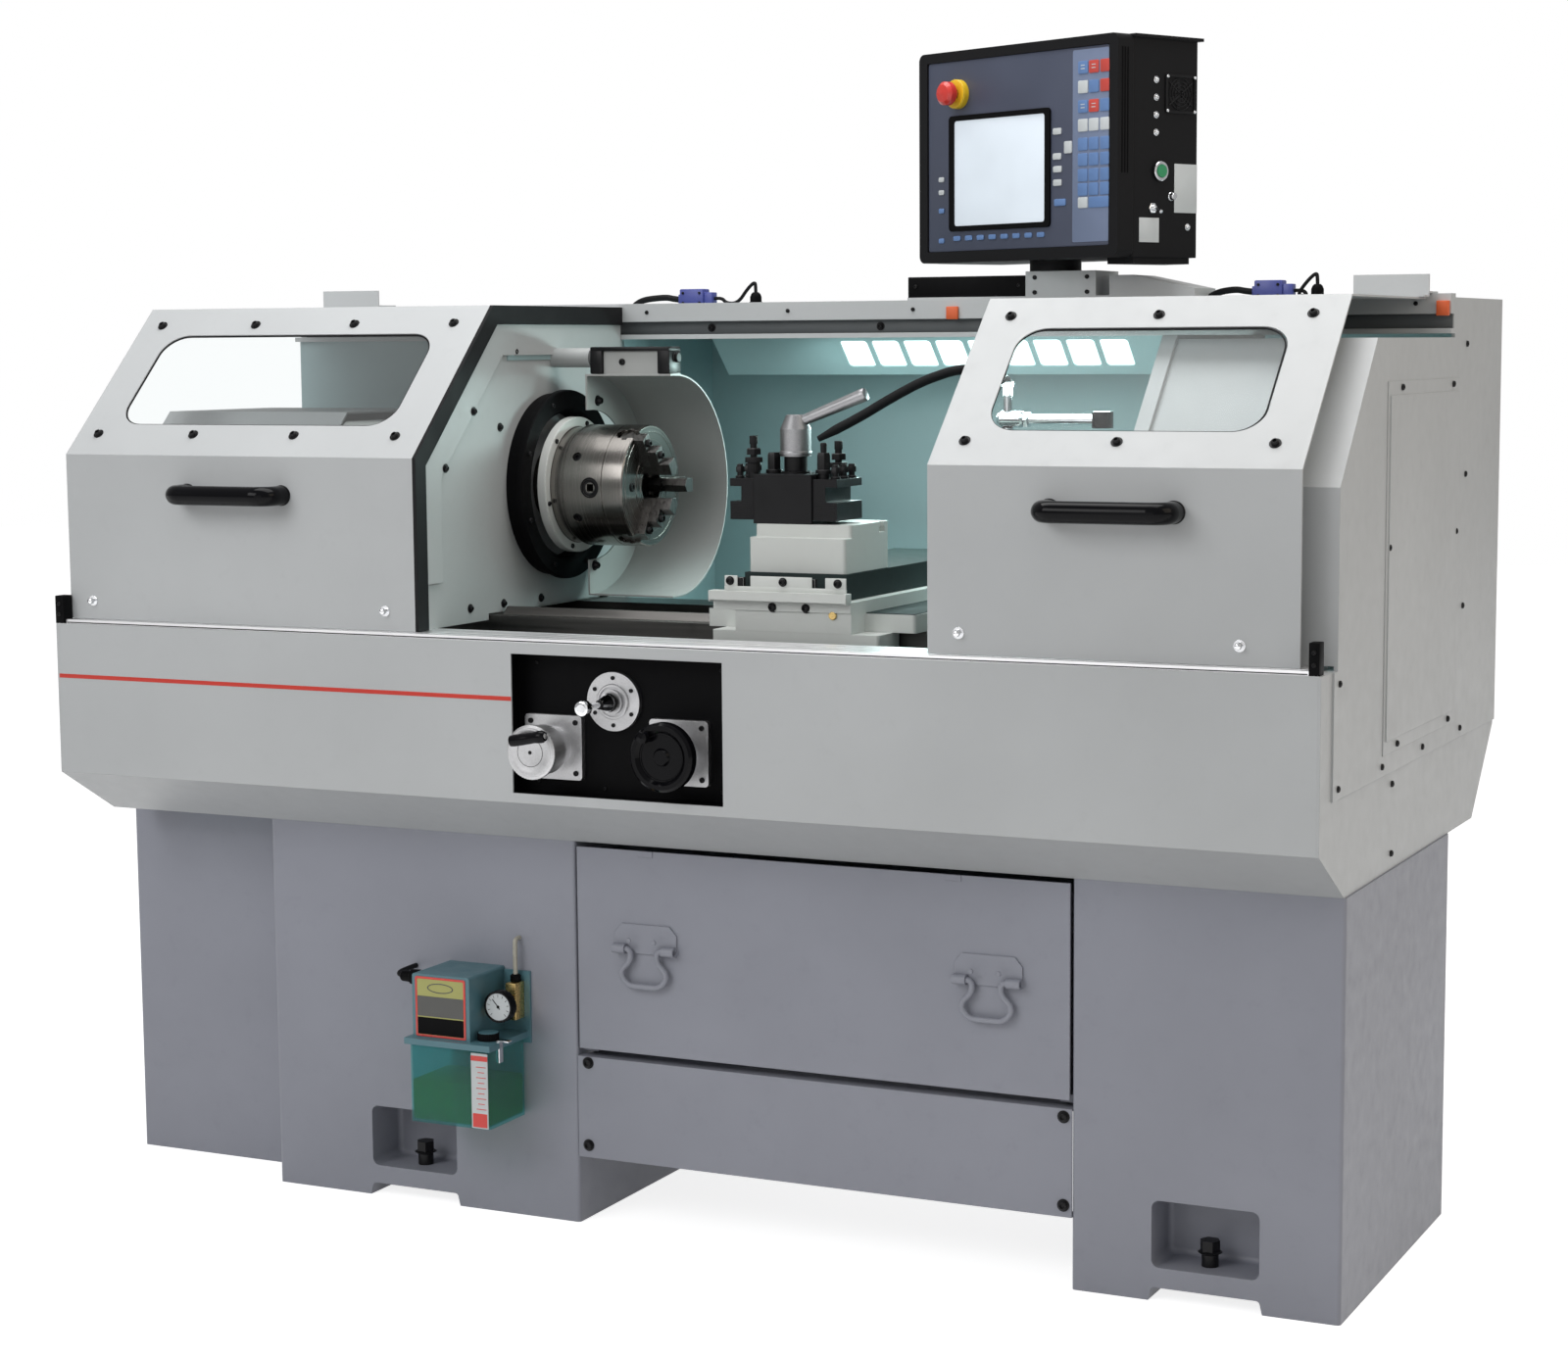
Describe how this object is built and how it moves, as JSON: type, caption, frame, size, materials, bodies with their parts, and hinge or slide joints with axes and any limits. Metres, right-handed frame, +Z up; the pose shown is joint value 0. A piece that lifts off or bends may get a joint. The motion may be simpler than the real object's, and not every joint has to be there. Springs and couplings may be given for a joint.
{
  "type": "cnc turning lathe",
  "caption": "Enclosed flat-bed turning lathe with sliding doors, three-jaw chuck, tool carriage, tailstock, chip drawer and a swivelling screen console on its roof.",
  "frame": {"origin": "on the floor under the middle of the whole machine's bounding box", "axes": "+X from the headstock to the tailstock, +Y from the operator to the back, +Z up"},
  "size_m": [2.1684, 1.109, 1.859],
  "materials": {
    "cover_paint": "satin",
    "base_paint": "fine texture",
    "casting_paint": "satin",
    "cast_iron": "machined",
    "ground_steel": "ground",
    "dark_steel": "blackened",
    "chrome": "polished",
    "aluminium": "anodised",
    "brass": "turned",
    "rubber": "matt",
    "black_plastic": "fine grain",
    "red_plastic": "gloss",
    "green_plastic": "gloss",
    "console_plastic": "fine grain",
    "black_paint": "satin",
    "teal_paint": "gloss",
    "window": "clear",
    "tank_plastic": "clear tinted",
    "lamp_white": "opal"
  },
  "bodies": {
    "frame": {"left_pedestal": "base_paint", "right_pedestal": "base_paint", "motor_cabinet": "base_paint", "lower_panel": "base_paint", "leveling_bolts": "dark_steel", "fascia": "cover_paint", "recess_panel": "black_paint", "front_rail": "aluminium", "top_rail": "aluminium", "rear_enclosure": "cover_paint", "lamp_panel": "cover_paint", "work_lamp": "lamp_white", "right_end_cover": "cover_paint", "right_access_panel": "cover_paint", "bulkhead": "cover_paint", "gear_cover": "cover_paint", "headstock": "casting_paint", "spindle_bearings": "ground_steel", "spindle_motor": "aluminium", "drive_belt": "rubber", "bed": "cast_iron", "control_arm": "cover_paint", "lubricator_pump": "teal_paint", "lubricator_tank": "tank_plastic", "wheel_flanges": "aluminium"},
    "left_door_body": {"left_door": "cover_paint", "left_window": "window", "left_door_seal": "rubber", "left_handle": "black_plastic"},
    "right_door_body": {"right_door": "cover_paint", "right_window": "window", "right_handle": "black_plastic"},
    "spindle_body": {"spindle": "ground_steel", "chuck_body": "ground_steel"},
    "scroll_body": {"chuck_scroll": "ground_steel"},
    "jaw_body_1": {"chuck_jaw_1": "ground_steel"},
    "jaw_body_2": {"chuck_jaw_2": "ground_steel"},
    "jaw_body_3": {"chuck_jaw_3": "ground_steel"},
    "motor_rotor": {"motor_pulley": "cast_iron"},
    "guard_body": {"chuck_guard": "cover_paint"},
    "feed_screw": {"z_ball_screw": "ground_steel"},
    "carriage": {"saddle": "casting_paint", "coolant_line": "chrome"},
    "cross_slide_body": {"cross_slide": "dark_steel", "slide_block": "casting_paint", "toolpost": "dark_steel"},
    "lever_body": {"toolpost_lever": "chrome"},
    "tailstock_body": {"tailstock": "casting_paint"},
    "quill_body": {"tailstock_quill": "ground_steel"},
    "tail_wheel_body": {"tailstock_wheel": "chrome"},
    "x_wheel_body": {"x_handwheel": "aluminium"},
    "z_wheel_body": {"z_handwheel": "black_plastic"},
    "jog_body": {"jog_stick": "chrome"},
    "drawer_body": {"chip_drawer": "base_paint"},
    "bail_body_left": {"drawer_bail_left": "base_paint"},
    "bail_body_right": {"drawer_bail_right": "base_paint"},
    "console_body": {"control_housing": "black_plastic", "control_bezel": "console_plastic"},
    "estop_body": {"estop_button": "red_plastic"},
    "start_body": {"start_button": "green_plastic"}
  },
  "joints": [
    {"name": "left_door_slide", "type": "slide", "parent": "frame", "child": "left_door_body", "axis": [1, 0, 0], "range_m": [0, 0.603]},
    {"name": "right_door_slide", "type": "slide", "parent": "frame", "child": "right_door_body", "axis": [1, 0, 0], "range_m": [-0.252, 0]},
    {"name": "spindle_turn", "type": "hinge", "parent": "frame", "child": "spindle_body", "pos_m": [-0.38425, -0.0285, 1.155], "axis": [1, 0, 0], "continuous": true},
    {"name": "motor_turn", "type": "hinge", "parent": "frame", "child": "motor_rotor", "pos_m": [-0.96425, -0.0285, 0.3], "axis": [1, 0, 0], "continuous": true},
    {"name": "scroll_turn", "type": "hinge", "parent": "spindle_body", "child": "scroll_body", "pos_m": [-0.22425, -0.0285, 1.155], "axis": [1, 0, 0], "range_deg": [-720, 540]},
    {"name": "jaw_slide_1", "type": "slide", "parent": "spindle_body", "child": "jaw_body_1", "axis": [0, 1, 0], "range_m": [-0.016, 0.012]},
    {"name": "jaw_slide_2", "type": "slide", "parent": "spindle_body", "child": "jaw_body_2", "axis": [0, -0.5, 0.866], "range_m": [-0.016, 0.012]},
    {"name": "jaw_slide_3", "type": "slide", "parent": "spindle_body", "child": "jaw_body_3", "axis": [0, -0.5, -0.866], "range_m": [-0.016, 0.012]},
    {"name": "guard_hinge", "type": "hinge", "parent": "frame", "child": "guard_body", "pos_m": [-0.21425, -0.0185, 1.365], "axis": [1, 0, 0], "range_deg": [0, 40]},
    {"name": "carriage_slide", "type": "slide", "parent": "frame", "child": "carriage", "axis": [1, 0, 0], "range_m": [-0.17, 0.1]},
    {"name": "feed_screw_turn", "type": "hinge", "parent": "frame", "child": "feed_screw", "pos_m": [0.21575, -0.2835, 0.78], "axis": [1, 0, 0], "range_deg": [-6120, 3600]},
    {"name": "cross_slide_slide", "type": "slide", "parent": "carriage", "child": "cross_slide_body", "axis": [0, 1, 0], "range_m": [0, 0.2]},
    {"name": "toolpost_lever_turn", "type": "hinge", "parent": "cross_slide_body", "child": "lever_body", "pos_m": [0.17175, -0.2215, 1.23], "axis": [0, 0, 1], "range_deg": [-60, 0]},
    {"name": "tailstock_slide", "type": "slide", "parent": "frame", "child": "tailstock_body", "axis": [1, 0, 0], "range_m": [-0.12, 0.05]},
    {"name": "quill_slide", "type": "slide", "parent": "tailstock_body", "child": "quill_body", "axis": [1, 0, 0], "range_m": [-0.1, 0]},
    {"name": "tailstock_wheel_turn", "type": "hinge", "parent": "tailstock_body", "child": "tail_wheel_body", "pos_m": [0.90575, -0.0285, 1.155], "axis": [1, 0, 0], "range_deg": [-7200, 0]},
    {"name": "x_handwheel_turn", "type": "hinge", "parent": "frame", "child": "x_wheel_body", "pos_m": [-0.12825, -0.4885, 0.777], "axis": [0, 1, 0], "continuous": true},
    {"name": "z_handwheel_turn", "type": "hinge", "parent": "frame", "child": "z_wheel_body", "pos_m": [0.08775, -0.4885, 0.779], "axis": [0, 1, 0], "continuous": true},
    {"name": "jog_stick_tilt", "type": "hinge", "parent": "frame", "child": "jog_body", "pos_m": [-0.02425, -0.4585, 0.851], "axis": [0, 0, 1], "range_deg": [-12, 12], "stiffness_Nm_per_rad": 0.5},
    {"name": "chip_drawer_slide", "type": "slide", "parent": "frame", "child": "drawer_body", "axis": [0, -1, 0], "range_m": [0, 0.45]},
    {"name": "bail_swing_left", "type": "hinge", "parent": "drawer_body", "child": "bail_body_left", "pos_m": [-0.02725, -0.366, 0.452], "axis": [-1, 0, 0], "range_deg": [0, 90]},
    {"name": "bail_swing_right", "type": "hinge", "parent": "drawer_body", "child": "bail_body_right", "pos_m": [0.54575, -0.366, 0.452], "axis": [-1, 0, 0], "range_deg": [0, 90]},
    {"name": "console_swivel", "type": "hinge", "parent": "frame", "child": "console_body", "pos_m": [0.42175, 0.2408, 1.51], "axis": [0, 0, 1], "range_deg": [-60, 60]},
    {"name": "estop_press", "type": "slide", "parent": "console_body", "child": "estop_body", "axis": [0.4289, 0.9033, 0], "range_m": [0, 0.006]},
    {"name": "start_press", "type": "slide", "parent": "console_body", "child": "start_body", "axis": [-0.9033, 0.4289, 0], "range_m": [0, 0.003], "stiffness_N_per_m": 400}
  ],
  "couplings": [
    {"joint": "motor_turn", "follows": "spindle_turn", "ratio": 1.5},
    {"joint": "jaw_slide_1", "follows": "scroll_turn", "m_per_rad": 0.0012732},
    {"joint": "jaw_slide_2", "follows": "scroll_turn", "m_per_rad": 0.0012732},
    {"joint": "jaw_slide_3", "follows": "scroll_turn", "m_per_rad": 0.0012732},
    {"joint": "feed_screw_turn", "follows": "carriage_slide", "rad_per_m": 628.32},
    {"joint": "quill_slide", "follows": "tailstock_wheel_turn", "m_per_rad": 0.00079577}
  ]
}
